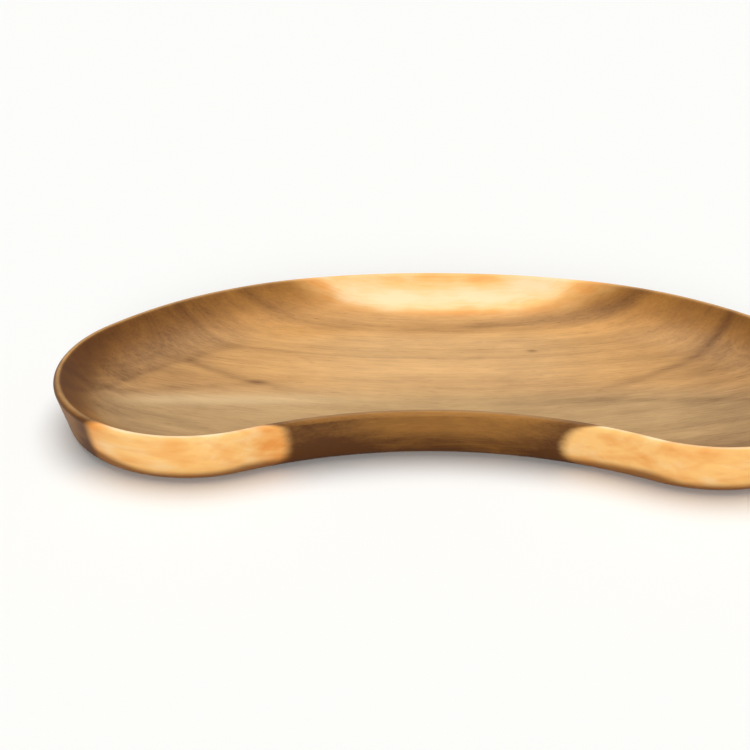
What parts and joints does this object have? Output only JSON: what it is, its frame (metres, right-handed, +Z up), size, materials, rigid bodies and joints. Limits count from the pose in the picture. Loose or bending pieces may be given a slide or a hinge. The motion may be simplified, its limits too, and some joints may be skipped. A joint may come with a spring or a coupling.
{
  "type": "wooden serving platter",
  "caption": "Kidney-shaped shallow wooden serving platter, carved from an edge-glued panel of staves, with a flared outer wall, a thin rounded rim and a coved hollow.",
  "frame": {"origin": "middle of the platter's footprint box, on the surface that it stands on", "axes": "+X along the staves to the right, +Y from the scooped front edge to the curved back, +Z up"},
  "size_m": [0.3558, 0.1764, 0.025],
  "materials": {
    "sapwood": "satin oil",
    "heartwood": "satin oil",
    "glue": "dried glue, sanded flush"
  },
  "bodies": {
    "root": {"front_stave_left": "sapwood", "front_stave_right": "sapwood", "waist_stave": "heartwood", "middle_stave": "heartwood", "back_stave": "heartwood", "front_glue_line_left": "glue", "front_glue_line_right": "glue", "middle_glue_line": "glue", "back_glue_line": "glue"}
  },
  "joints": []
}
